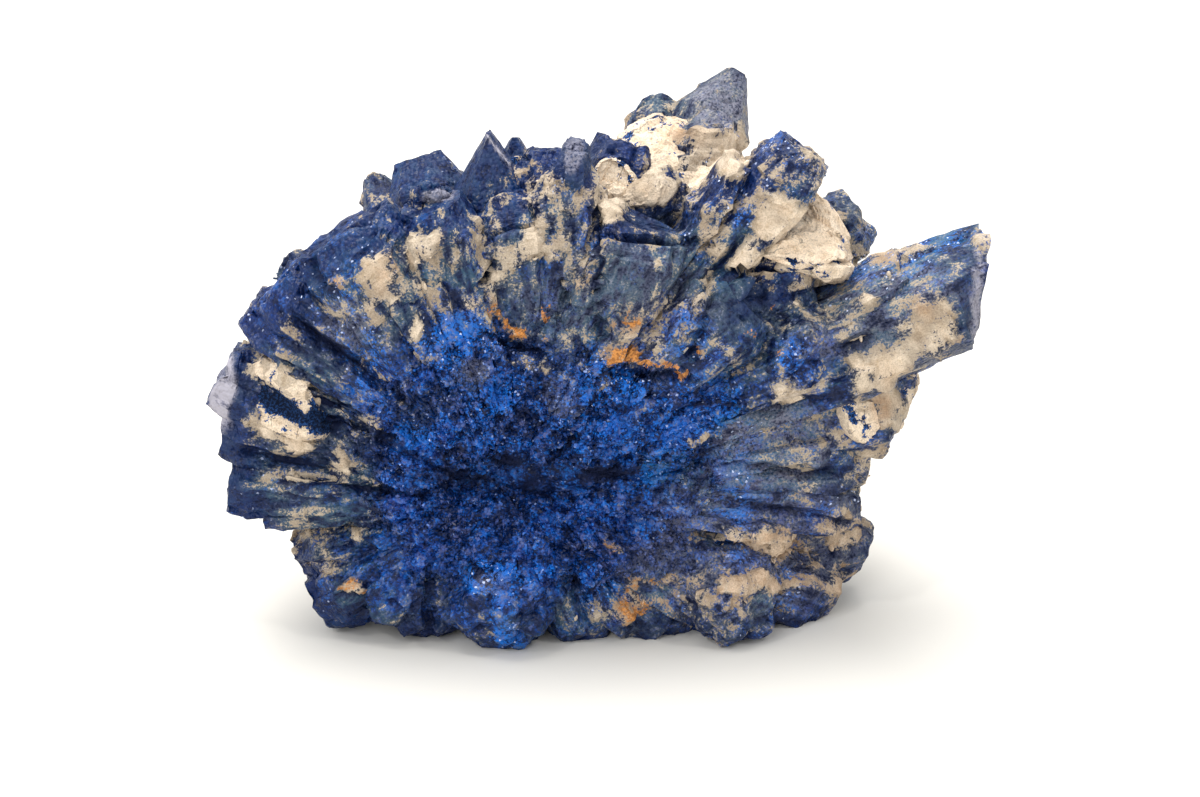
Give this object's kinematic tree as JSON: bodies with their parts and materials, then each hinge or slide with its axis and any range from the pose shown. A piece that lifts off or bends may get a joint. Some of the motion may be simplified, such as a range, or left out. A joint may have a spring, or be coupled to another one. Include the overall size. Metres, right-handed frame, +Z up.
{
  "type": "azurite specimen",
  "caption": "Fan-shaped cluster of bladed azurite crystals with a drusy hollow front and pale clay wedged between the blades.",
  "frame": {"origin": "on the resting plane, under the middle of the specimen's box", "axes": "+X along the longest extent, to the right seen from the hollow face; -Y is the hollow face; +Z up"},
  "size_m": [0.0463, 0.0252, 0.0314],
  "materials": {
    "azurite": "drusy crystal: deep blue, rough, with fine sparkle and dusty clay",
    "clay": "dry crumbly clay, matte and cracked"
  },
  "bodies": {
    "root": {"azurite_cluster": "azurite", "clay_saddle": "clay", "clay_gully": "clay", "clay_crown": "clay", "clay_point": "clay", "clay_right": "clay", "clay_left": "clay", "clay_foot": "clay", "clay_back_upper": "clay", "clay_back_middle": "clay", "clay_back_lower": "clay"}
  },
  "joints": []
}
